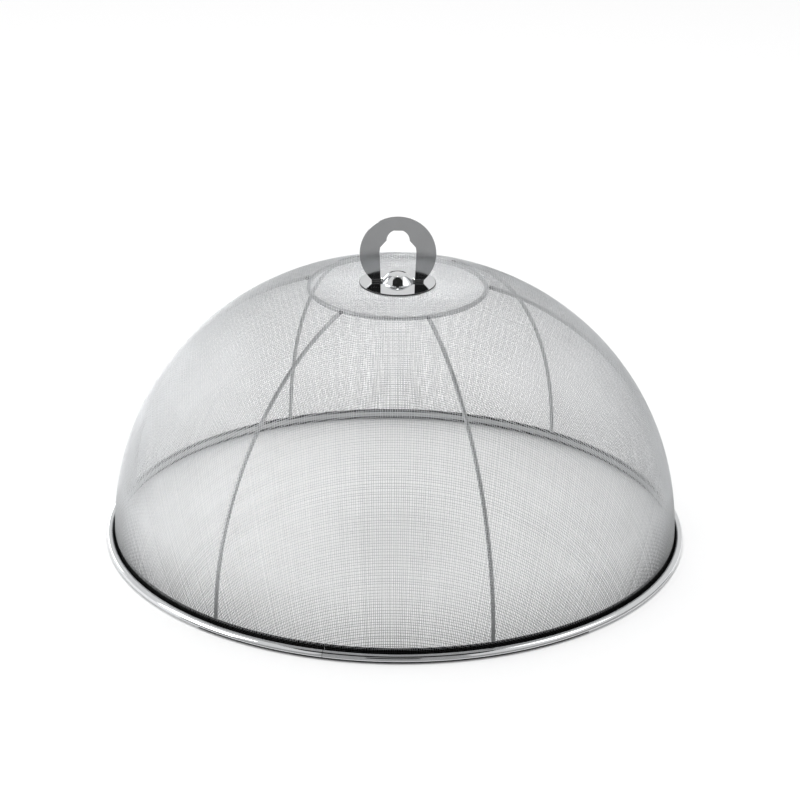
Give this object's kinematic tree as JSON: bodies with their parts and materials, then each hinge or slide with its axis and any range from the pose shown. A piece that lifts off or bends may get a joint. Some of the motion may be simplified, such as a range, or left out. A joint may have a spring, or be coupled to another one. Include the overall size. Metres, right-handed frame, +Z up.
{
  "type": "food cover dome",
  "caption": "Domed fly cover of woven stainless wire mesh on a wire frame, with a rolled polished rim and a ring handle that folds flat.",
  "frame": {"origin": "centre of the rim's resting face, on the table", "axes": "+Z up along the dome's axis, -Y towards the front, +X along the ring handle's pivot"},
  "size_m": [0.356, 0.356, 0.2035],
  "materials": {
    "mesh": "bright woven wire",
    "wire": "drawn wire",
    "polished_rim": "polished",
    "polished_handle": "mirror polished",
    "ring_plate": "polished",
    "plain_steel": "plain"
  },
  "bodies": {
    "cover": {"mesh_dome": "mesh", "rim_band": "polished_rim", "rim_hoop": "wire", "crown_ring": "wire", "rib_1": "wire", "rib_2": "wire", "rib_3": "wire", "rib_4": "wire", "rib_5": "wire", "rib_6": "wire", "handle_base": "polished_handle", "handle_button": "polished_handle", "backing_plate": "plain_steel", "lock_washer": "plain_steel", "handle_screw": "plain_steel"},
    "ring": {"handle_ring": "ring_plate"}
  },
  "joints": [
    {"name": "ring_fold", "type": "hinge", "parent": "cover", "child": "ring", "pos_m": [0, 0, 0.1641], "axis": [1, 0, 0], "range_deg": [-90, 90]}
  ]
}
